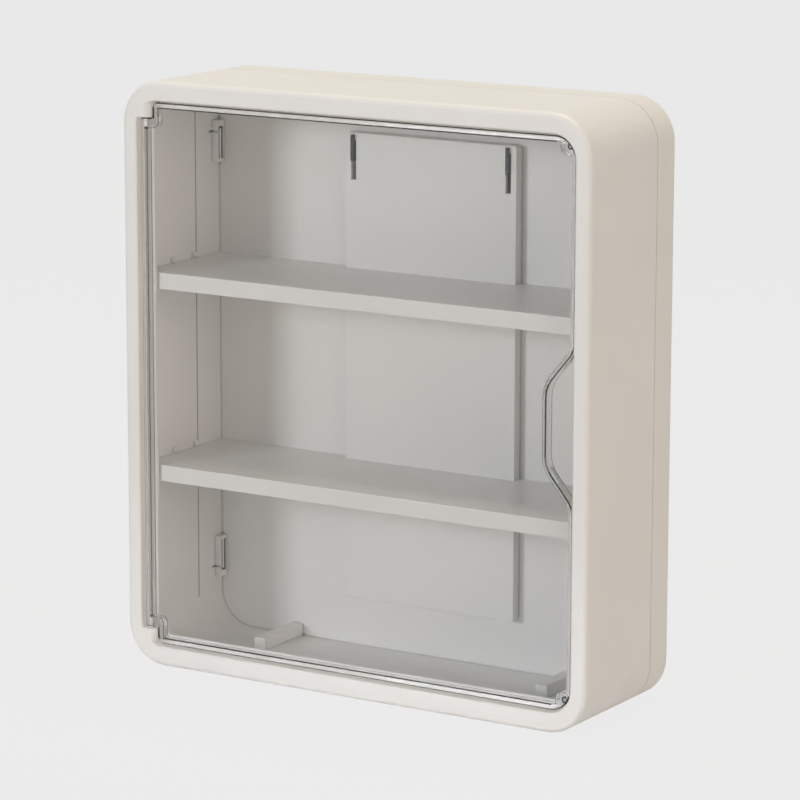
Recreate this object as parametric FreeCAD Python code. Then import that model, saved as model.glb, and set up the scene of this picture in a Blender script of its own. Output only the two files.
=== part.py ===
import FreeCAD, Part
import math
import os

# Wall-mounted medicine organizer, in millimetres.
# X runs to the right, Y to the back and Z up. The origin is the centre of the underside:
# the front face lies at Y = -cabinet_depth / 2 and the face that meets the wall at +cabinet_depth / 2.

# Cabinet
cabinet_width = 320.0
cabinet_height = 358.0
cabinet_depth = 100.0
corner_radius = 26.0
wall = 3.0
front_edge_radius = 3.0
rear_edge_chamfer = 2.0

# Front border, the collar behind it and the door opening
border_side = 10.0
border_top = 12.0
border_thickness = 3.0
opening_radius = 15.0
opening_edge_chamfer = 0.7
collar_wall = 2.0

# Door stop: a thin ledge all round behind the door, with a bump behind each hinge
stop_reach = 5.2
stop_thickness = 2.0
stop_gap = 0.2
bump_width = 6.4
bump_height = 8.9
bump_foot_radius = 1.3
bump_radius = 5.0
bump_top_radius = 3.0

# Joint between the two shells: the rear one has a tongue that slips inside the front one
rear_shell_depth = 22.0
tongue_length = 6.0
tongue_thickness = 1.5
tongue_gap = 0.1
seam_groove = 0.5

# Screws that join the shells, in square posts along the top and bottom walls
screw_spacing = 200.0
screw_from_edge = 6.5
screw_radius = 1.5
screw_length = 15.0
screw_head_radius = 2.7
screw_head_height = 2.2
screw_hole_gap = 0.2
screw_head_gap = 0.4
post_half_width = 4.0
post_floor = 2.8
pilot_spare = 2.0

# Back wall, its raised centre panel and the pocket behind that panel
back_wall = 2.5
panel_width = 119.0
panel_height = 288.0
panel_stand = 7.0
panel_wall = 2.5
panel_edge_radius = 1.5
slot_spacing = 108.0
slot_width = 3.6
slot_height = 24.0
slot_below_panel_top = 4.5

# Snap pads in the rear corners of the side walls, each with a tongue in a slot and a snap recess
pad_stand = 3.8
pad_depth = 8.0
pad_height = 26.0
pad_top_from_middle = 144.4
tongue_slot_width = 5.2
tongue_slot_height = 20.0
tongue_slot_below_pad_top = 3.8
tongue_slot_from_back_wall = 1.0
snap_tongue_width = 1.8
snap_tongue_below_slot_top = 1.2
snap_tongue_setback = 0.5
snap_height = 1.5
snap_recess_depth = 1.2
snap_before_pad = 3.5
snap_into_pad = 1.0
snap_from_middle = 137.7

# Door
door_gap = 1.2
door_recess = 3.0
door_depth = 7.2
door_panel = 2.1
door_rim = 3.0
door_corner_radius = 13.8
door_edge_chamfer = 0.6
door_inner_radius = 1.0

# Finger notch in the free edge of the door
notch_reach = 18.0
notch_mouth = 90.0
notch_floor = 46.0
notch_mouth_radius = 15.0
notch_floor_radius = 17.0
notch_below_middle = 0.7

# Hinge: steel pins, pressed into blocks of the front border, that turn in lugs of the door
hinge_inset = 2.6
hinge_behind_door_face = 2.4
block_height = 10.3
block_clearance = 0.3
block_door_gap = 0.5
lug_height = 6.0
lug_corner_radius = 3.5
cutout_crest_radius = 4.5
hinge_corner_radius = 0.8
pin_radius = 1.25
pin_running_gap = 0.05
pin_seat_depth = 9.0
pin_lug_depth = 5.0

# Magnets of the catch, in the free corners
magnet_radius = 2.0
magnet_length = 2.5
magnet_cover = 0.8
magnet_air_gap = 0.3
boss_radius = 5.0

# Shelves, the ledges under them and the nubs above them
upper_shelf_height = 240.5
lower_shelf_height = 122.0
shelf_thickness = 2.0
shelf_lip_height = 10.0
shelf_lip_thickness = 2.0
shelf_setback = 1.0
shelf_gap = 0.2
shelf_lip_radius = 0.8
ledge_reach = 3.0
ledge_height = 3.5
ledge_margin = 5.0
nub_radius = 1.8
nub_length = 4.0
nub_gap = 0.1
nub_depths = (46.5, 68.7)

# Wall bracket: a steel plate in the pocket, with two ears that reach through the slots
bracket_height = 44.0
bracket_thickness = 2.0
bracket_side_gap = 0.5
bracket_corner_radius = 4.0
ear_height = 16.0
ear_tip_thickness = 1.8
ear_notch_depth = 3.5
ear_notch_gap = 0.2
ear_corner_radius = 1.0
ear_tip_radius = 0.5
bracket_hole_radius = 2.25
bracket_sink_radius = 3.4
bracket_hole_spacing = 70.0

# Cuts run past the faces that they open by this much
overrun = 1.0

# Points and faces closer than this count as one
closeness = 0.0001

# Places worked out from the sizes above
right_side = cabinet_width / 2
front_face = -cabinet_depth / 2
wall_face = cabinet_depth / 2
middle = cabinet_height / 2
seam = wall_face - rear_shell_depth
tongue_tip = seam - tongue_length
inner_right = right_side - wall
back_wall_face = wall_face - back_wall
panel_face = back_wall_face - panel_stand
panel_right = panel_width / 2
panel_top = middle + panel_height / 2
panel_bottom = middle - panel_height / 2
opening_right = right_side - border_side
opening_top = cabinet_height - border_top
door_right = opening_right - door_gap
door_top = opening_top - door_gap
door_face = front_face + door_recess
door_back = door_face + door_depth
hinge_x = hinge_inset - door_right
hinge_y = door_face + hinge_behind_door_face
hinge_sweep = math.hypot(hinge_inset, door_back - hinge_y)
stop_face = hinge_y + hinge_sweep + stop_gap
collar_end = stop_face + stop_thickness
block_radius = hinge_y - front_face
block_edge = hinge_x + block_radius
block_inner = opening_top - block_height
cutout_edge = block_edge + block_clearance
cutout_inner = block_inner - block_door_gap
magnet_reach = (door_corner_radius - magnet_radius - magnet_cover) * math.sqrt(0.5)
magnet_x = door_right - door_corner_radius + magnet_reach
magnet_top = door_top - door_corner_radius + magnet_reach
frame_magnet_face = door_back + magnet_air_gap
shelf_front = collar_end + shelf_setback
slot_top = panel_top - slot_below_panel_top
screw_seat = tongue_tip + post_floor
screw_x = screw_spacing / 2
screw_top = cabinet_height - screw_from_edge
pad_face = inner_right - pad_stand
pad_front = back_wall_face - pad_depth
shelf_heights = {"upper_shelf": upper_shelf_height, "lower_shelf": lower_shelf_height}


def vector(x, y, z):
    return FreeCAD.Vector(x, y, z)


def front_view(y):
    """Places (x, z) pairs in the upright plane at depth y."""
    return lambda a, b: vector(a, y, b)


def plan_view(z):
    """Places (x, y) pairs in the level plane at height z."""
    return lambda a, b: vector(a, b, z)


def side_view(x):
    """Places (y, z) pairs in the upright plane at x."""
    return lambda a, b: vector(x, a, b)


def outline(corners, place):
    """Face inside straight runs that meet in the given (a, b, radius) corners, with true arcs."""
    starts = []
    ends = []
    middles = []
    for index, corner in enumerate(corners):
        here = place(corner[0], corner[1])
        before = place(*corners[index - 1][:2])
        after = place(*corners[(index + 1) % len(corners)][:2])
        back = (before - here).normalize()
        ahead = (after - here).normalize()
        radius = corner[2]
        half_angle = back.getAngle(ahead) / 2
        reach = radius / math.tan(half_angle)
        starts.append(here + back * reach)
        ends.append(here + ahead * reach)
        if radius > 0:
            inward = (back + ahead).normalize()
            middles.append(here + inward * (radius / math.sin(half_angle) - radius))
        else:
            middles.append(None)
    edges = []
    for index in range(len(corners)):
        if middles[index] is not None:
            edges.append(Part.Arc(starts[index], middles[index], ends[index]).toShape())
        following = starts[(index + 1) % len(corners)]
        if not ends[index].isEqual(following, closeness):
            edges.append(Part.LineSegment(ends[index], following).toShape())
    return Part.Face(Part.Wire(edges))


def rectangle(low_a, high_a, low_b, high_b, radius):
    """The four corners of a rectangle, each with the same radius."""
    return [
        (low_a, low_b, radius),
        (high_a, low_b, radius),
        (high_a, high_b, radius),
        (low_a, high_b, radius),
    ]


def slab(corners, start, end):
    """An outline seen from the front, from depth start back to depth end."""
    return outline(corners, front_view(start)).extrude(vector(0, end - start, 0))


def column(corners, bottom, top):
    """An outline seen from above, from height bottom up to height top."""
    return outline(corners, plan_view(bottom)).extrude(vector(0, 0, top - bottom))


def plate(corners, left, right):
    """An outline seen from the side, from x left to x right."""
    return outline(corners, side_view(left)).extrude(vector(right - left, 0, 0))


def cabinet_outline(inset):
    """The cabinet's rounded front outline, drawn in by the inset."""
    side = right_side - inset
    return rectangle(-side, side, inset, cabinet_height - inset, corner_radius - inset)


def opening_outline(outset):
    """The door opening's outline, widened by the outset."""
    side = opening_right + outset
    top = opening_top + outset
    return rectangle(-side, side, cabinet_height - top, top, opening_radius + outset)


def rod(radius, base, direction, length):
    return Part.makeCylinder(radius, length, base, direction)


def edges_in_plane(shape, axis, value):
    """The edges of a shape that lie wholly at one depth or height."""
    found = []
    for edge in shape.Edges:
        box = edge.BoundBox
        low = getattr(box, axis + "Min")
        high = getattr(box, axis + "Max")
        if abs(low - value) < closeness and abs(high - value) < closeness:
            found.append(edge)
    return found


def within_opening(edge):
    """Whether an edge lies on the door opening's outline or inside it."""
    box = edge.BoundBox
    limit = opening_right + opening_edge_chamfer
    return box.XMax < limit and box.XMin > -limit and box.ZMax < opening_top + opening_edge_chamfer


def flipped(shape):
    """The shape's mirror image in the level plane at half height."""
    return shape.mirror(vector(0, 0, middle), vector(0, 0, 1))


def mirrored(shape):
    """The shape's mirror image in the cabinet's middle plane."""
    return shape.mirror(vector(0, 0, 0), vector(1, 0, 0))


def hinge_block():
    """Upper hinge block: flush with the front face up to the pin, then round about the pin."""
    left = -opening_right - collar_wall
    crest = vector(hinge_x, front_face, block_inner)
    half = block_radius * math.sqrt(0.5)
    shoulder = vector(hinge_x + half, hinge_y - half, block_inner)
    flank = vector(block_edge, hinge_y, block_inner)
    points = [flank, vector(block_edge, collar_end, block_inner), vector(left, collar_end, block_inner)]
    points.append(vector(left, front_face, block_inner))
    points.append(crest)
    edges = [Part.Arc(crest, shoulder, flank).toShape()]
    for start, end in zip(points, points[1:]):
        edges.append(Part.LineSegment(start, end).toShape())
    height = opening_top + collar_wall - block_inner
    return Part.Face(Part.Wire(edges)).extrude(vector(0, 0, height))


def stop_outline():
    """The inner edge of the door stop, with the bumps behind the hinges."""
    edge = opening_right - stop_reach
    top = opening_top - stop_reach
    bottom = cabinet_height - top
    corner = opening_radius - stop_reach
    bump_edge = bump_width - edge
    upper_foot = top - bump_height
    lower_foot = bottom + bump_height
    return [
        (edge, bottom, corner),
        (edge, top, corner),
        (bump_edge, top, bump_top_radius),
        (bump_edge, upper_foot, bump_radius),
        (-edge, upper_foot, bump_foot_radius),
        (-edge, lower_foot, bump_foot_radius),
        (bump_edge, lower_foot, bump_radius),
        (bump_edge, bottom, bump_top_radius),
    ]


def pin_seat():
    """Blind hole that holds the upper hinge pin in its block."""
    mouth = vector(hinge_x, hinge_y, block_inner - block_door_gap)
    return rod(pin_radius, mouth, vector(0, 0, 1), block_door_gap + pin_seat_depth)


def frame_magnet_boss():
    """Boss through the upper free corner of the door stop, for the frame's magnet."""
    base = vector(magnet_x, frame_magnet_face, magnet_top)
    return rod(boss_radius, base, vector(0, 1, 0), magnet_length + magnet_cover)


def shelf_supports(shelf_height):
    """The ledge under a shelf's right end and the round-nosed nubs above it."""
    under = shelf_height - shelf_thickness
    ledge = slab(
        [
            (inner_right + tongue_gap, under, 0),
            (inner_right - ledge_reach, under, 0),
            (inner_right + tongue_gap, under - ledge_height, 0),
        ],
        shelf_front + shelf_lip_thickness + ledge_margin,
        tongue_tip,
    )
    supports = [ledge]
    for depth in nub_depths:
        nub_start = front_face + depth - nub_length / 2
        base = vector(inner_right, nub_start, shelf_height + nub_gap + nub_radius)
        supports.append(rod(nub_radius, base, vector(0, 1, 0), nub_length))
    return supports


def in_corners(shape):
    """Copies of a shape made in the upper right of the cabinet, one for each corner."""
    upper = [shape, mirrored(shape)]
    return upper + [flipped(piece) for piece in upper]


def screw_rod(radius, start, end):
    """A round bar on the upper right screw's axis."""
    return rod(radius, vector(screw_x, start, screw_top), vector(0, 1, 0), end - start)


def screw_post(start, end):
    """A square post about the upper right screw's axis."""
    half = post_half_width
    corners = rectangle(screw_x - half, screw_x + half, screw_top - half, screw_top + half, 0)
    return slab(corners, start, end)


def front_housing():
    """Front shell: border, collar, door stop, hinge blocks, magnet bosses, shelf supports, posts."""
    shell = slab(cabinet_outline(0), front_face, seam - seam_groove)
    shell = shell.makeFillet(front_edge_radius, edges_in_plane(shell, "Y", front_face))
    shell = shell.cut(slab(cabinet_outline(wall), front_face + border_thickness, seam))
    lap = wall - tongue_thickness - tongue_gap
    shell = shell.cut(slab(cabinet_outline(lap), tongue_tip, seam))
    collar = slab(opening_outline(collar_wall), front_face + border_thickness / 2, collar_end)
    shell = shell.fuse(collar)
    shell = shell.cut(slab(opening_outline(0), front_face - overrun, stop_face))
    shell = shell.cut(slab(stop_outline(), stop_face - overrun, collar_end + overrun))
    rim_edges = [edge for edge in edges_in_plane(shell, "Y", front_face) if within_opening(edge)]
    shell = shell.makeChamfer(opening_edge_chamfer, rim_edges)
    additions = []
    for piece in (hinge_block(), frame_magnet_boss()):
        additions += [piece, flipped(piece)]
    for shelf_height in shelf_heights.values():
        for support in shelf_supports(shelf_height):
            additions.append(support)
            additions.append(mirrored(support))
    pilot_end = screw_seat - screw_length - pilot_spare
    additions += in_corners(screw_post(pilot_end - post_floor, tongue_tip))
    inside = slab(cabinet_outline(wall / 2), front_face, tongue_tip)
    shell = shell.fuse([piece.common(inside) for piece in additions])
    seats = in_corners(screw_rod(screw_radius, pilot_end, tongue_tip + overrun))
    for seat in (pin_seat(), frame_magnet()):
        seats += [seat, flipped(seat)]
    return shell.cut(seats).removeSplitter()


def snap_pad():
    """Upper right snap pad on the rear shell's side wall, with a tongue in its slot."""
    top = middle + pad_top_from_middle
    side_middle = inner_right + wall / 2
    pad_corners = rectangle(pad_front, back_wall_face + back_wall / 2, top - pad_height, top, 0)
    pad = plate(pad_corners, pad_face, side_middle)
    slot_high = top - tongue_slot_below_pad_top
    slot_low = slot_high - tongue_slot_height
    slot_rear = back_wall_face - tongue_slot_from_back_wall
    slot_front = slot_rear - tongue_slot_width
    pad = pad.cut(plate(rectangle(slot_front, slot_rear, slot_low, slot_high, 0), pad_face, inner_right))
    tongue_front = (slot_front + slot_rear - snap_tongue_width) / 2
    tongue_rear = tongue_front + snap_tongue_width
    tongue_top = slot_high - snap_tongue_below_slot_top
    tongue_corners = rectangle(tongue_front, tongue_rear, slot_low - overrun, tongue_top, 0)
    return pad.fuse(plate(tongue_corners, pad_face + snap_tongue_setback, side_middle))


def snap_recess():
    """Cut for the upper right snap recess, in the side wall and the front edge of the pad."""
    low = middle + snap_from_middle - snap_height / 2
    corners = rectangle(pad_front - snap_before_pad, pad_front + snap_into_pad, low, low + snap_height, 0)
    return plate(corners, pad_face - overrun, inner_right + snap_recess_depth)


def rear_housing():
    """Rear shell: rim with its tongue, back wall, raised panel, slots, posts and snap pads."""
    shell = slab(cabinet_outline(0), seam, wall_face)
    shell = shell.makeChamfer(rear_edge_chamfer, edges_in_plane(shell, "Y", wall_face))
    shell = shell.fuse(slab(cabinet_outline(wall - tongue_thickness), tongue_tip, seam))
    shell = shell.cut(slab(cabinet_outline(wall), tongue_tip - overrun, back_wall_face))
    panel_corners = rectangle(-panel_right, panel_right, panel_bottom, panel_top, panel_edge_radius)
    panel = slab(panel_corners, panel_face, back_wall_face + back_wall / 2)
    shell = shell.fuse(panel)
    posts = in_corners(screw_post(tongue_tip, wall_face - back_wall / 2))
    within_walls = slab(cabinet_outline(wall - tongue_thickness / 2), tongue_tip, wall_face)
    shell = shell.fuse([post.common(within_walls) for post in posts] + in_corners(snap_pad()))
    inset = panel_wall
    pocket_corners = rectangle(
        inset - panel_right, panel_right - inset, panel_bottom + inset, panel_top - inset, panel_edge_radius
    )
    shell = shell.cut(slab(pocket_corners, panel_face + panel_wall, wall_face + overrun))
    cuts = in_corners(screw_rod(screw_radius + screw_hole_gap, tongue_tip - overrun, wall_face))
    cuts += in_corners(screw_rod(screw_head_radius + screw_head_gap, screw_seat, wall_face + overrun))
    cuts += in_corners(snap_recess())
    for side in (-1, 1):
        slot_left = side * slot_spacing / 2 - slot_width / 2
        slot_bottom = slot_top - slot_height
        slot = rectangle(slot_left, slot_left + slot_width, slot_bottom, slot_top, 0)
        cuts.append(slab(slot, panel_face - overrun, panel_face + panel_wall + overrun))
    return shell.cut(cuts).removeSplitter()


def door_outline():
    """The door's front outline: round free corners, hinge cut-outs and the finger notch."""
    bottom = cabinet_height - door_top
    cutout_low = cabinet_height - cutout_inner
    notch_middle = middle - notch_below_middle
    notch_x = door_right - notch_reach
    return [
        (cutout_edge, bottom, cutout_crest_radius),
        (door_right, bottom, door_corner_radius),
        (door_right, notch_middle - notch_mouth / 2, notch_mouth_radius),
        (notch_x, notch_middle - notch_floor / 2, notch_floor_radius),
        (notch_x, notch_middle + notch_floor / 2, notch_floor_radius),
        (door_right, notch_middle + notch_mouth / 2, notch_mouth_radius),
        (door_right, door_top, door_corner_radius),
        (cutout_edge, door_top, cutout_crest_radius),
        (cutout_edge, cutout_inner, hinge_corner_radius),
        (-door_right, cutout_inner, hinge_corner_radius),
        (-door_right, cutout_low, hinge_corner_radius),
        (cutout_edge, cutout_low, hinge_corner_radius),
    ]


def door_pocket():
    """The hollow behind the door's panel: the outline less the rim, with round-cornered lugs."""
    bottom = cabinet_height - door_top
    lug_top = cutout_inner - lug_height
    lug_low = cabinet_height - lug_top
    notch_middle = middle - notch_below_middle
    slope = math.atan2(notch_reach, (notch_mouth - notch_floor) / 2)
    turn = door_rim * math.tan(slope / 2)
    notch_x = door_right - notch_reach - door_rim
    rim_right = door_right - door_rim
    rim_left = door_rim - door_right
    lug_edge = cutout_edge + door_rim
    inner_radius = door_corner_radius - door_rim
    mouth_half = notch_mouth / 2 + turn
    floor_half = notch_floor / 2 + turn
    return [
        (lug_edge, bottom + door_rim, cutout_crest_radius - door_rim),
        (rim_right, bottom + door_rim, inner_radius),
        (rim_right, notch_middle - mouth_half, notch_mouth_radius - door_rim),
        (notch_x, notch_middle - floor_half, notch_floor_radius + door_rim),
        (notch_x, notch_middle + floor_half, notch_floor_radius + door_rim),
        (rim_right, notch_middle + mouth_half, notch_mouth_radius - door_rim),
        (rim_right, door_top - door_rim, inner_radius),
        (lug_edge, door_top - door_rim, cutout_crest_radius - door_rim),
        (lug_edge, lug_top, lug_corner_radius),
        (rim_left, lug_top, door_inner_radius),
        (rim_left, lug_low, door_inner_radius),
        (lug_edge, lug_low, lug_corner_radius),
    ]


def door():
    """Clear tray: a thin panel with a rim, solid hinge lugs, magnet bosses and a finger notch."""
    tray = slab(door_outline(), door_face, door_back)
    tray = tray.makeChamfer(door_edge_chamfer, edges_in_plane(tray, "Y", door_face))
    tray = tray.cut(slab(door_pocket(), door_face + door_panel, door_back + overrun))
    boss_base = vector(magnet_x, door_face + door_panel / 2, magnet_top)
    boss = rod(boss_radius, boss_base, vector(0, 1, 0), door_back - boss_base.y)
    boss = boss.common(slab(door_outline(), door_face, door_back))
    tray = tray.fuse([boss, flipped(boss)])
    seat_base = vector(magnet_x, door_back - magnet_length, magnet_top)
    magnet_seat = rod(magnet_radius, seat_base, vector(0, 1, 0), magnet_length + overrun)
    lug_top = cutout_inner - lug_height
    bore = rod(
        pin_radius + pin_running_gap,
        vector(hinge_x, hinge_y, lug_top - overrun),
        vector(0, 0, 1),
        lug_height + overrun + overrun,
    )
    tray = tray.cut([magnet_seat, flipped(magnet_seat), bore, flipped(bore)])
    return tray.removeSplitter()


def hinge_pin():
    """Upper steel hinge pin, with its lower end in the door's lug."""
    length = pin_seat_depth + block_door_gap + pin_lug_depth
    return rod(pin_radius, vector(hinge_x, hinge_y, cutout_inner - pin_lug_depth), vector(0, 0, 1), length)


def door_magnet():
    """Upper door magnet, flush with the back of the door."""
    base = vector(magnet_x, door_back - magnet_length, magnet_top)
    return rod(magnet_radius, base, vector(0, 1, 0), magnet_length)


def frame_magnet():
    """Upper frame magnet, flush with the front of its boss."""
    base = vector(magnet_x, frame_magnet_face, magnet_top)
    return rod(magnet_radius, base, vector(0, 1, 0), magnet_length)


def shelf(top):
    """Shelf plate with a turned-down front lip, notched at the back for the raised panel."""
    end = inner_right - shelf_gap
    rear = back_wall_face - shelf_gap
    notch_side = panel_right + shelf_gap
    notch_front = panel_face - shelf_gap
    plan = [
        (-end, shelf_front, 0),
        (end, shelf_front, 0),
        (end, rear, 0),
        (notch_side, rear, 0),
        (notch_side, notch_front, 0),
        (-notch_side, notch_front, 0),
        (-notch_side, rear, 0),
        (-end, rear, 0),
    ]
    board = column(plan, top - shelf_thickness, top)
    lip_corners = rectangle(shelf_front, shelf_front + shelf_lip_thickness, top - shelf_lip_height, top, 0)
    lip = plate(lip_corners, -end, end)
    whole = board.fuse(lip).removeSplitter()
    front_edges = edges_in_plane(whole, "Y", shelf_front)
    crest = [edge for edge in front_edges if edge.BoundBox.ZMin > top - shelf_lip_radius]
    return whole.makeFillet(shelf_lip_radius, crest)


def wall_bracket():
    """Steel plate for the wall, with two ears bent forward through the slots of the raised panel."""
    pocket_side = panel_right - panel_wall
    side = pocket_side - bracket_side_gap
    top = panel_top - panel_wall - bracket_side_gap
    back_plate = slab(
        rectangle(-side, side, top - bracket_height, top, bracket_corner_radius),
        wall_face - bracket_thickness,
        wall_face,
    )
    notch_front = panel_face - ear_notch_gap
    notch_rear = panel_face + panel_wall + ear_notch_gap
    tip = slot_top + ear_notch_depth
    front = notch_front - ear_tip_thickness
    plate_middle = wall_face - bracket_thickness / 2
    profile = [
        (front, tip - ear_height, ear_corner_radius),
        (plate_middle, tip - ear_height, 0),
        (plate_middle, top, 0),
        (notch_rear, top, 0),
        (notch_rear, slot_top, 0),
        (notch_front, slot_top, 0),
        (notch_front, tip, ear_tip_radius),
        (front, tip, ear_tip_radius),
    ]
    ears = []
    holes = []
    for side_sign in (-1, 1):
        centre = side_sign * slot_spacing / 2
        ears.append(plate(profile, centre - bracket_thickness / 2, centre + bracket_thickness / 2))
        x = side_sign * bracket_hole_spacing / 2
        z = top - bracket_height / 2
        start = vector(x, wall_face - bracket_thickness, z)
        backward = vector(0, 1, 0)
        holes.append(rod(bracket_hole_radius, start, backward, bracket_thickness + overrun))
        sink_depth = bracket_sink_radius - bracket_hole_radius
        holes.append(Part.makeCone(bracket_sink_radius, bracket_hole_radius, sink_depth, start, backward))
    return back_plate.fuse(ears).cut(holes).removeSplitter()


def housing_screws():
    """Four flat-faced screws, put in from the back, that hold the two shells together."""
    shank = screw_rod(screw_radius, screw_seat - screw_length, screw_seat)
    head = screw_rod(screw_head_radius, screw_seat, screw_seat + screw_head_height)
    screw = shank.fuse(head).removeSplitter()
    return Part.makeCompound(in_corners(screw))


def write(name, shape):
    shape.exportStep(os.path.join("parts", name + ".step"))
    print(name, "solids", len(shape.Solids), "valid", shape.isValid(), "volume", round(shape.Volume, 1))


def main():
    os.makedirs("parts", exist_ok=True)
    write("front_housing", front_housing())
    write("rear_housing", rear_housing())
    write("door", door())
    upper_parts = {
        "hinge_pin": hinge_pin(),
        "door_magnet": door_magnet(),
        "frame_magnet": frame_magnet(),
    }
    for name, shape in upper_parts.items():
        write("upper_" + name, shape)
        write("lower_" + name, flipped(shape))
    for name, top in shelf_heights.items():
        write(name, shelf(top))
    write("housing_screws", housing_screws())
    write("wall_bracket", wall_bracket())


main()
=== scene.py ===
import math

import bpy
from mathutils import Matrix, Vector


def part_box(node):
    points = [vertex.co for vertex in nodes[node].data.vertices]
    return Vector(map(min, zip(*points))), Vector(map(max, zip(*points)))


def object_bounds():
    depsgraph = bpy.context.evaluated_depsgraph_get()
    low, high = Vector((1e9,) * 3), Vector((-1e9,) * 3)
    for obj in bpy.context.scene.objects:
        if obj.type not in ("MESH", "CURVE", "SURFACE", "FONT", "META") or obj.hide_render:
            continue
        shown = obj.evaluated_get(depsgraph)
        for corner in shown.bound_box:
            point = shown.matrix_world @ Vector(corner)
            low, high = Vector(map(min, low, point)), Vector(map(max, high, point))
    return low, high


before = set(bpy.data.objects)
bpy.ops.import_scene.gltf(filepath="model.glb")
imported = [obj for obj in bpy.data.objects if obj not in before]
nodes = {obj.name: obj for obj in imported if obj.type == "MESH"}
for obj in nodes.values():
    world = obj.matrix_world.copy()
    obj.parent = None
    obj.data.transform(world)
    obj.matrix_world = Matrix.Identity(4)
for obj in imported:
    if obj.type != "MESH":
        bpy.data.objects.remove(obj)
cad_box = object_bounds()
scene = bpy.context.scene
scene.view_settings.view_transform = "Standard"


# Places on the part that the materials draw by, in metres

MIDDLE_HEIGHT = 0.179

# Line where the shells meet on the inside of the side walls
INNER_SIDE = 0.157
INNER_SIDE_TOLERANCE = 0.0004
PARTING_DEPTH = 0.0217
PARTING_HALF_LENGTH = 0.154
PARTING_HALF_WIDTH = 0.0003
PARTING_FADE = 0.0009

# Slots of the snap pads, in the rear corners of the side walls, whose walls take painted shade
SLOT_WALLS_ACROSS = (0.1539, 0.1571)
SLOT_DEPTH = 0.0439
SLOT_HALF_DEPTH = 0.00265
SLOT_FROM_MIDDLE = 0.1306
SLOT_HALF_HEIGHT = 0.01005

# Door: sizes, the relief cut beside each hinge block, and the holes for the pins
DOOR_PANEL = 0.0021
DOOR_RIM = 0.003
DOOR_CORNER = 0.0125
HINGE_CUT_X = -0.1405
HINGE_CUT_FROM_MIDDLE = 0.1562
PIN_X = -0.1462
PIN_HOLE_RADIUS = 0.0014
PIN_HOLE_DEPTHS = (0.001, 0.0038)
PIN_HOLE_LENGTH = 0.0058

# Door: widths and depths of the painted dark strips along its edges, which stand in for shade and
# dark reflections
EDGE_ROUNDING = 0.0009
ROOT_STRIP = 0.0011
BACK_STRIP = 0.0007
FRONT_STRIP = 0.0006
FRONT_STRIP_DEPTH = 0.0004
CUT_STRIP = 0.0017
CUT_STRIP_DEPTH = 0.0007
FREE_SIDE_STRIP = 0.0012
BEHIND_PANEL = 0.001

# Door: which way a face looks, by the cosine c of its angle to the front
FACES_FRONT = 0.95
FACES_SIDEWAYS = 0.05
# c * (1 - c) is above this where a face leans 21 to 86 degrees
SLOPED = 0.06

# Door: flatness of a sharp edge, from the middle of its painted dark line to where the line ends
SHARP_EDGE = (0.88, 0.985)
# Door: how dark these painted shade lines are beside a full one
FREE_SIDE_SHARE = 0.3
RIM_WALL_SHARE = 0.9

# Magnets and housing screws: across and up from the middle
MAGNET_X = 0.142778
MAGNET_FROM_MIDDLE = 0.159778
MAGNET_PALE_RADIUS = 0.0011
SCREW_X = 0.1
SCREW_FROM_MIDDLE = 0.1725
CROSS_REACH = 0.0017
CROSS_HALF_SLOT = 0.0004


# Colours


def linear(r, g, b):
    """A colour given in display values from 0 to 255, as the shader wants it."""
    def one(v):
        v /= 255
        return v / 12.92 if v <= 0.04045 else ((v + 0.055) / 1.055) ** 2.4
    return (one(r), one(g), one(b), 1)


WHITE = (1, 1, 1, 1)
BACKGROUND = linear(235, 235, 235)


# Shader graphs


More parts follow.
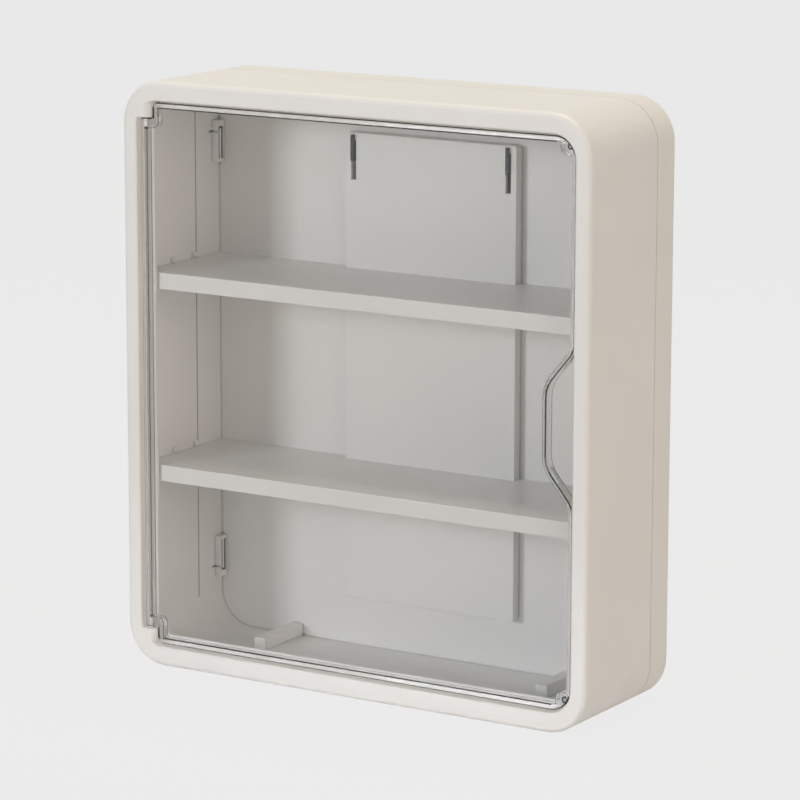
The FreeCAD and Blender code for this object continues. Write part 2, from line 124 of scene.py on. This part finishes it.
class Graph:
    """A material's node tree, with short helpers that add nodes and return their outputs."""

    def __init__(self, name):
        self.material = bpy.data.materials.new(name)
        self.material.use_nodes = True
        self.tree = self.material.node_tree
        self.tree.nodes.clear()
        self.out = self.add("ShaderNodeOutputMaterial")
        self.place = self.add("ShaderNodeTexCoord").outputs["Object"]

    def add(self, kind, inputs=None, **settings):
        node = self.tree.nodes.new(kind)
        for key, value in settings.items():
            setattr(node, key, value)
        for key, value in (inputs or {}).items():
            if isinstance(value, bpy.types.NodeSocket):
                self.tree.links.new(value, node.inputs[key])
            else:
                node.inputs[key].default_value = value
        return node

    def noise(self, scale, detail, roughness):
        return self.add("ShaderNodeTexNoise", {
            "Vector": self.place, "Scale": scale, "Detail": detail,
            "Roughness": roughness}).outputs["Fac"]

    def spread(self, value, low, high, start=0.3, stop=0.7):
        """Maps start to stop onto low to high, and keeps to that range."""
        return self.add("ShaderNodeMapRange", {
            "Value": value, "From Min": start, "From Max": stop,
            "To Min": low, "To Max": high}).outputs["Result"]

    def tint(self, value, dark, light, start=0.3, stop=0.7):
        """A colour that runs from dark at start to light at stop."""
        ramp = self.add("ShaderNodeValToRGB", {"Fac": value})
        ramp.color_ramp.elements[0].position = start
        ramp.color_ramp.elements[0].color = dark
        ramp.color_ramp.elements[1].position = stop
        ramp.color_ramp.elements[1].color = light
        return ramp.outputs["Color"]

    def math(self, operation, first, second=0.0):
        node = self.add("ShaderNodeMath", {0: first, 1: second}, operation=operation)
        return node.outputs["Value"]

    def product(self, first, *others):
        for other in others:
            first = self.math("MULTIPLY", first, other)
        return first

    def most(self, first, *others):
        for other in others:
            first = self.math("MAXIMUM", first, other)
        return first

    def away(self, value, centre):
        return self.math("ABSOLUTE", self.math("SUBTRACT", value, centre))

    def over(self, value, limit):
        return self.math("GREATER_THAN", value, limit)

    def under(self, value, limit):
        return self.math("LESS_THAN", value, limit)

    def between(self, value, start, stop):
        return self.product(self.over(value, start), self.under(value, stop))

    def opposite(self, value):
        return self.math("SUBTRACT", 1.0, value)

    def axes(self, vector=None):
        if vector is None:
            vector = self.place
        split = self.add("ShaderNodeSeparateXYZ", {"Vector": vector})
        return split.outputs["X"], split.outputs["Y"], split.outputs["Z"]

    def times(self, first, second):
        node = self.add("ShaderNodeVectorMath", {0: first, 1: second}, operation="MULTIPLY")
        return node.outputs["Vector"]

    def bump(self, height, strength, distance, normal=None):
        inputs = {"Height": height, "Strength": strength, "Distance": distance}
        if normal is not None:
            inputs["Normal"] = normal
        return self.add("ShaderNodeBump", inputs).outputs["Normal"]

    def rounded(self, radius):
        """The normal with sharp edges rounded off by this radius."""
        return self.add("ShaderNodeBevel", {"Radius": radius}, samples=4).outputs["Normal"]

    def flatness(self, normal):
        """1 on a flat face, and less where the rounded normal turns away near an edge."""
        true = self.add("ShaderNodeNewGeometry").outputs["True Normal"]
        node = self.add("ShaderNodeVectorMath", {0: normal, 1: true}, operation="DOT_PRODUCT")
        return node.outputs["Value"]

    def finish(self, shader):
        self.tree.links.new(shader, self.out.inputs["Surface"])
        return self.material


# White plastics


def parting_line(g):
    """1 on the line where the two shells meet on the inside of the side walls."""
    x, y, z = g.axes()
    on_wall = g.under(g.away(g.math("ABSOLUTE", x), INNER_SIDE), INNER_SIDE_TOLERANCE)
    on_flat = g.under(g.away(z, MIDDLE_HEIGHT), PARTING_HALF_LENGTH)
    groove = g.spread(g.away(y, PARTING_DEPTH), 1.0, 0.0, PARTING_HALF_WIDTH, PARTING_FADE)
    return g.product(on_wall, on_flat, groove)


def painted_slot_shade(g):
    """1 on the walls below the edge of the snap pads' slots, where painted shade darkens the
    plastic.
    """
    x, y, z = g.axes()
    below = g.between(g.math("ABSOLUTE", x), *SLOT_WALLS_ACROSS)
    in_depth = g.under(g.away(y, SLOT_DEPTH), SLOT_HALF_DEPTH)
    in_height = g.under(g.away(g.away(z, MIDDLE_HEIGHT), SLOT_FROM_MIDDLE), SLOT_HALF_HEIGHT)
    return g.product(below, in_depth, in_height)


def moulded_plastic(name, dark, light, roughness, gap_shade_end=0.58, marks=()):
    """Injection-moulded plastic: fine grain, faint flow clouds, uneven gloss, and painted shade
    that darkens tight gaps.

    Each mark is a function that gives a mask, and the colour that the plastic takes there: a dark
    joint, or painted shade in a recess.
    """
    g = Graph(name)
    flow = g.noise(12, 3, 0.55)
    # Painted shade: the colour darkens where the mesh's own surfaces lie within 3 mm, in gaps,
    # corners and recesses; gap_shade_end is where the darkening stops.
    gap_shade = g.add("ShaderNodeAmbientOcclusion", {"Distance": 0.003},
                samples=6, only_local=True).outputs["AO"]
    colour = g.times(g.tint(flow, dark, light),
                     g.tint(gap_shade, linear(50, 48, 46), WHITE, 0.18, gap_shade_end))
    for mask, shade in marks:
        colour = g.times(colour, g.tint(mask(g), WHITE, shade, 0.0, 1.0))
    polish = g.noise(55, 4, 0.6)
    pits = g.add("ShaderNodeTexVoronoi", {"Vector": g.place, "Scale": 1700}).outputs["Distance"]
    grain = 0.00002
    normal = g.bump(pits, 0.25, grain, g.rounded(0.0004))
    normal = g.bump(g.noise(2600, 2, 0.6), 0.25, grain, normal)
    shader = g.add("ShaderNodeBsdfPrincipled", {
        "Base Color": colour,
        "Roughness": g.spread(polish, roughness - 0.05, roughness + 0.05),
        "Normal": normal,
        "IOR": 1.5,
        "Subsurface Weight": 0.06,
        "Subsurface Radius": (0.004, 0.0035, 0.003),
        "Subsurface Scale": 0.4})
    return g.finish(shader.outputs["BSDF"])


line_mark = (parting_line, linear(165, 163, 160))
# Painted shade: the walls of the snap pads' slots are darkened to near black.
slot_shade_mark = (painted_slot_shade, linear(60, 58, 56))
white_shell = moulded_plastic("white_shell_plastic", linear(230, 228, 226), linear(234, 232, 230),
                              0.42, marks=[line_mark])
rear_shell = moulded_plastic("rear_shell_plastic", linear(230, 228, 225), linear(234, 232, 229),
                             0.46, gap_shade_end=0.68, marks=[line_mark, slot_shade_mark])
shelf_plastic = moulded_plastic("shelf_plastic", linear(226, 224, 221), linear(230, 228, 225),
                                0.36)


# Clear plastic


def painted_door_shade(g, low, high, inside):
    """How dark the painted shade makes each place of the door, from 0 to 1, and 1 in its rim as a
    second value.

    Clear plastic looks dark along its edges, where it bends and reflects light, and this darkness
    is painted
    into the colour: on sloped faces, at sharp corners, and in thin strips where the rim meets the
    panel, along the rim's back and beside the hinge blocks.
    """
    x, y, z = g.axes()
    half_height = (high[2] - low[2]) / 2
    depth = g.math("SUBTRACT", y, low[1])
    height = g.math("SUBTRACT", z, (low[2] + high[2]) / 2)
    across = g.math("ABSOLUTE", x)
    from_middle = g.math("ABSOLUTE", height)
    in_rim = g.most(g.over(across, high[0] - DOOR_RIM),
                    g.over(from_middle, half_height - DOOR_RIM))

    facing = g.add("ShaderNodeVectorTransform",
                   {"Vector": g.add("ShaderNodeNewGeometry").outputs["True Normal"]},
                   vector_type="NORMAL", convert_from="WORLD", convert_to="OBJECT")
    turned_x, turned_y, turned_z = g.axes(facing.outputs["Vector"])
    to_front = g.math("ABSOLUTE", turned_y)
    sloped = g.over(g.product(to_front, g.opposite(to_front)), SLOPED)
    on_free_side = g.over(x, high[0] - FREE_SIDE_STRIP)
    sloped = g.product(sloped, g.spread(on_free_side, 1.0, FREE_SIDE_SHARE, 0.0, 1.0))

    hidden = g.product(inside, g.over(depth, DOOR_PANEL + BEHIND_PANEL))
    flat = g.math("ADD", g.flatness(g.rounded(EDGE_ROUNDING)), hidden)
    sharp = g.spread(flat, 1.0, 0.0, *SHARP_EDGE)

    outward = g.math("ADD", g.product(turned_x, x), g.product(turned_z, height))
    root = g.product(g.under(outward, 0.0),
                     g.between(depth, DOOR_PANEL, DOOR_PANEL + ROOT_STRIP))
    back = g.product(g.opposite(inside), g.over(depth, high[1] - low[1] - BACK_STRIP))
    on_rim_walls = g.product(g.under(to_front, FACES_SIDEWAYS), g.most(root, back))

    rim_edge = half_height - DOOR_RIM
    on_front = g.product(
        g.over(to_front, FACES_FRONT),
        g.between(from_middle, rim_edge - FRONT_STRIP, rim_edge),
        g.under(across, high[0] - DOOR_CORNER),
        g.under(depth, FRONT_STRIP_DEPTH))
    beside_block = g.product(
        g.between(x, HINGE_CUT_X, HINGE_CUT_X + CUT_STRIP),
        g.over(from_middle, HINGE_CUT_FROM_MIDDLE),
        g.under(depth, CUT_STRIP_DEPTH))

    pin_hole = g.product(
        g.between(x, PIN_X - PIN_HOLE_RADIUS, PIN_X + PIN_HOLE_RADIUS),
        g.between(depth, *PIN_HOLE_DEPTHS),
        g.over(from_middle, HINGE_CUT_FROM_MIDDLE - PIN_HOLE_LENGTH))
    line = g.most(
        sloped, sharp, g.product(on_rim_walls, RIM_WALL_SHARE), on_front, beside_block)
    return g.product(line, g.opposite(pin_hole)), in_rim


def clear_plastic(name, low, high):
    """Clear moulded plastic: a glassy panel with a brighter rim and a painted shade line along each
    edge.

    Its body bends light less than real plastic, so the inside shows through it almost
    unshifted, and the coat over it reflects as real plastic does.
    """
    g = Graph(name)
    polish = g.noise(90, 3, 0.6)
    wave = g.noise(14, 2, 0.5)
    inside = g.add("ShaderNodeNewGeometry").outputs["Backfacing"]
    line, in_rim = painted_door_shade(g, low, high, inside)
    body = g.add("ShaderNodeBsdfPrincipled", {
        # Painted shade: the body's colour turns near black along the door's edge lines, for the
        # shade and dark reflections of its edges.
        "Base Color": g.tint(line, linear(245, 246, 246), linear(14, 12, 12), 0.0, 1.0),
        "Roughness": g.spread(polish, 0.0, 0.02),
        "Transmission Weight": 1.0,
        "IOR": 1.1,
        "Coat Weight": 1.0,
        "Coat IOR": 1.49,
        "Coat Roughness": 0.05,
        "Coat Normal": g.bump(wave, 0.06, 0.0003)})
    haze = g.add("ShaderNodeBsdfPrincipled", {
        "Base Color": g.tint(polish, linear(218, 214, 211), linear(228, 225, 222)),
        "Roughness": g.spread(polish, 0.2, 0.3),
        "IOR": 1.49})
    cloud = g.product(in_rim, g.opposite(inside), 0.4, g.opposite(line))
    solid = g.add("ShaderNodeMixShader", {
        "Fac": cloud, 1: body.outputs["BSDF"], 2: haze.outputs["BSDF"]})
    through = g.add("ShaderNodeBsdfTransparent", {"Color": linear(250, 250, 250)})
    path = g.add("ShaderNodeLightPath")
    lit_through = g.most(path.outputs["Is Shadow Ray"], path.outputs["Is Diffuse Ray"])
    mix = g.add("ShaderNodeMixShader", {
        "Fac": lit_through, 1: solid.outputs["Shader"], 2: through.outputs["BSDF"]})
    bulk = g.add("ShaderNodeVolumeAbsorption", {"Color": linear(226, 228, 228), "Density": 12.0})
    g.tree.links.new(bulk.outputs["Volume"], g.out.inputs["Volume"])
    return g.finish(mix.outputs["Shader"])


clear_door = clear_plastic("clear_door_plastic", *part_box("door"))


# Metals


def shaded_cross_recess(g):
    """1 in the cross of each housing screw, where painted shade darkens the recess."""
    x, _, z = g.axes()
    u = g.away(g.math("ABSOLUTE", x), SCREW_X)
    v = g.away(g.away(z, MIDDLE_HEIGHT), SCREW_FROM_MIDDLE)
    narrow = g.under(g.math("MINIMUM", u, v), CROSS_HALF_SLOT)
    return g.product(narrow, g.under(g.most(u, v), CROSS_REACH))


def painted_magnet_reflection(g):
    """0 on the pale middle of each magnet, a painted highlight, and 1 on the ring round it, a
    painted dark reflection.
    """
    x, _, z = g.axes()
    u = g.math("SUBTRACT", g.math("ABSOLUTE", x), MAGNET_X)
    v = g.math("SUBTRACT", g.away(z, MIDDLE_HEIGHT), MAGNET_FROM_MIDDLE)
    off = g.math("SQRT", g.math("ADD", g.product(u, u), g.product(v, v)))
    return g.spread(off, 0.0, 1.0, MAGNET_PALE_RADIUS - 0.0001, MAGNET_PALE_RADIUS + 0.0001)


def metal(name, dark, light, roughness, scale=(40, 40, 900), metallic=1.0, crossed=False,
          painted_ring=False):
    """Plated or drawn metal with fine lines and a little uneven tarnish.

    On screws it has a cross recess with painted shade in it, and on magnets a painted dark
    reflection ring round a pale middle, a painted highlight.
    """
    g = Graph(name)
    lines = g.add("ShaderNodeTexNoise", {
        "Vector": g.add("ShaderNodeMapping", {"Vector": g.place, "Scale": scale}).outputs["Vector"],
        "Scale": 3, "Detail": 4}).outputs["Fac"]
    colour = g.tint(g.noise(180, 4, 0.6), dark, light)
    normal = g.bump(lines, 0.3, 0.00001)
    if crossed:
        recess = shaded_cross_recess(g)
        # Painted shade: the cross recess is darkened, besides being bumped in.
        colour = g.times(colour, g.tint(recess, WHITE, linear(70, 70, 72), 0.0, 1.0))
        normal = g.bump(g.opposite(recess), 0.8, 0.0006, normal)
    if painted_ring:
        # Painted reflection and highlight: a dark ring round a pale, less metallic middle on each
        # magnet.
        ring = painted_magnet_reflection(g)
        colour = g.times(colour, g.tint(ring, linear(240, 240, 242), linear(34, 34, 36), 0.0, 1.0))
        metallic = g.spread(ring, 0.15, 1.0, 0.0, 1.0)
    shader = g.add("ShaderNodeBsdfPrincipled", {
        "Base Color": colour,
        "Metallic": metallic,
        "Roughness": g.spread(lines, roughness - 0.07, roughness + 0.07),
        "Normal": normal})
    return g.finish(shader.outputs["BSDF"])


pin_steel = metal("pin_steel", linear(205, 205, 207), linear(235, 235, 237), 0.4, metallic=0.4)
screw_steel = metal("screw_steel", linear(165, 165, 168), linear(205, 205, 208), 0.3, crossed=True)
# Painted shade: the bracket's steel is near black so that the slots it shows through look shaded.
bracket_steel = metal("bracket_steel", linear(40, 40, 42), linear(54, 54, 56), 0.45,
                      scale=(900, 40, 40))
magnet_metal = metal("magnet_metal", linear(205, 205, 208), linear(228, 228, 230), 0.3,
                     painted_ring=True)

for node, material in {
    "front_housing": white_shell,
    "rear_housing": rear_shell,
    "upper_shelf": shelf_plastic,
    "lower_shelf": shelf_plastic,
    "door": clear_door,
    "upper_hinge_pin": pin_steel,
    "lower_hinge_pin": pin_steel,
    "upper_door_magnet": magnet_metal,
    "lower_door_magnet": magnet_metal,
    "upper_frame_magnet": magnet_metal,
    "lower_frame_magnet": magnet_metal,
    "housing_screws": screw_steel,
    "wall_bracket": bracket_steel,
}.items():
    mesh = nodes[node].data
    mesh.materials.clear()
    mesh.materials.append(material)


# Floor and background


def seen_directly(tree):
    """1 where the camera looks, also by way of a reflection or through the clear door."""
    path = tree.nodes.new("ShaderNodeLightPath")
    seen = path.outputs["Is Camera Ray"]
    for kind in ("Is Glossy Ray", "Is Transmission Ray"):
        wider = tree.nodes.new("ShaderNodeMath")
        wider.operation = "MAXIMUM"
        tree.links.new(seen, wider.inputs[0])
        tree.links.new(path.outputs[kind], wider.inputs[1])
        seen = wider.outputs[0]
    return seen


FLOOR_SIZE = 8
FLOOR_PLAIN_SHARE = 0.955
FLOOR_PLAIN_STRENGTH = 1.014
FILL_COLOUR = (1.0, 0.985, 0.97, 1)
FILL_STRENGTH = 0.18


def floor():
    """A plain pale floor that takes a little of the object's shadow."""
    bpy.ops.mesh.primitive_plane_add(size=FLOOR_SIZE, location=(0, 0, 0))
    sheet = bpy.context.object
    sheet.name = "floor"
    g = Graph("floor_paint")
    speck = g.noise(300, 3, 0.6)
    body = g.add("ShaderNodeBsdfPrincipled", {
        "Base Color": g.tint(speck, linear(222, 220, 217), linear(228, 226, 223)),
        "Roughness": g.spread(speck, 0.75, 0.9),
        "Specular IOR Level": 0.0})
    plain = g.add("ShaderNodeEmission", {
        "Color": BACKGROUND, "Strength": FLOOR_PLAIN_STRENGTH})
    plain_share = g.product(seen_directly(g.tree), FLOOR_PLAIN_SHARE)
    mix = g.add("ShaderNodeMixShader", {
        "Fac": plain_share, 1: body.outputs["BSDF"], 2: plain.outputs["Emission"]})
    sheet.data.materials.append(g.finish(mix.outputs["Shader"]))


def backdrop():
    """A soft fill light that shows as the photo's pale grey."""
    world = bpy.data.worlds.new("studio")
    scene.world = world
    world.use_nodes = True
    tree = world.node_tree
    tree.nodes.clear()
    mix = tree.nodes.new("ShaderNodeMixShader")
    tree.links.new(seen_directly(tree), mix.inputs[0])
    for slot, colour, strength in ((1, FILL_COLOUR, FILL_STRENGTH), (2, BACKGROUND, 1.0)):
        light = tree.nodes.new("ShaderNodeBackground")
        light.inputs["Color"].default_value = colour
        light.inputs["Strength"].default_value = strength
        tree.links.new(light.outputs[0], mix.inputs[slot])
    out = tree.nodes.new("ShaderNodeOutputWorld")
    tree.links.new(mix.outputs[0], out.inputs["Surface"])


floor()
backdrop()


# Light


def lamp(name, place, target, size, power, colour, spread=180):
    """A rectangular lamp: sizes in metres, power in watts, spread of its beam in degrees."""
    data = bpy.data.lights.new(name, "AREA")
    data.shape = "RECTANGLE"
    data.size, data.size_y = size
    data.energy = power
    data.color = colour
    data.spread = math.radians(spread)
    obj = bpy.data.objects.new(name, data)
    scene.collection.objects.link(obj)
    obj.location = place
    obj.rotation_euler = (Vector(target) - Vector(place)).to_track_quat("-Z", "Y").to_euler()


centre = (cad_box[0] + cad_box[1]) / 2
lamp("key", (-0.98, -2.13, 0.68), centre, (0.55, 0.55), 17.8, (0.97, 1.0, 1.045))
lamp("front", (0.2, -2.6, 0.9), centre, (1.6, 1.6), 2.8, (0.99, 1.0, 1.01))
lamp("low", (0.02, -0.55, 0.14), (0.02, -0.05, 0.0), (0.4, 0.04), 0.036, (0.94, 1.0, 1.08), 30)
lamp("side", (1.95, -0.85, 0.6), centre, (1.2, 1.2), 13.4, (1.0, 0.87, 0.765))
lamp("top", (0.0, 0.1, 2.2), centre, (1.6, 1.2), 26, (1.0, 0.93, 0.77))
lamp("back", (-0.3, 1.9, 0.24), (0, 0, 0.22), (0.7, 0.12), 0.75, (1.0, 0.98, 0.95), 40)


# Camera, fitted to the photograph

CAMERA_PLACE = (1.19345, -1.90788, 0.62908)
LENS = 174.1
SENSOR_WIDTH = 36

yaw = math.radians(31.933)
pitch = math.radians(11.489)
roll = math.radians(0.12)
ahead = Vector((-math.sin(yaw), math.cos(yaw), 0))
right = Vector((math.cos(yaw), math.sin(yaw), 0))
upright = Vector((0, 0, 1))
forward = ahead * math.cos(pitch) - upright * math.sin(pitch)
up = upright * math.cos(pitch) + ahead * math.sin(pitch)
side = right * math.cos(roll) + up * math.sin(roll)
top = up * math.cos(roll) - right * math.sin(roll)
camera_data = bpy.data.cameras.new("camera")
camera_data.sensor_width = SENSOR_WIDTH
camera_data.lens = LENS
camera_data.clip_start = 0.05
camera_data.clip_end = 50
camera = bpy.data.objects.new("camera", camera_data)
scene.collection.objects.link(camera)
camera.matrix_world = Matrix((
    (side.x, top.x, -forward.x, CAMERA_PLACE[0]),
    (side.y, top.y, -forward.y, CAMERA_PLACE[1]),
    (side.z, top.z, -forward.z, CAMERA_PLACE[2]),
    (0, 0, 0, 1)))
scene.camera = camera
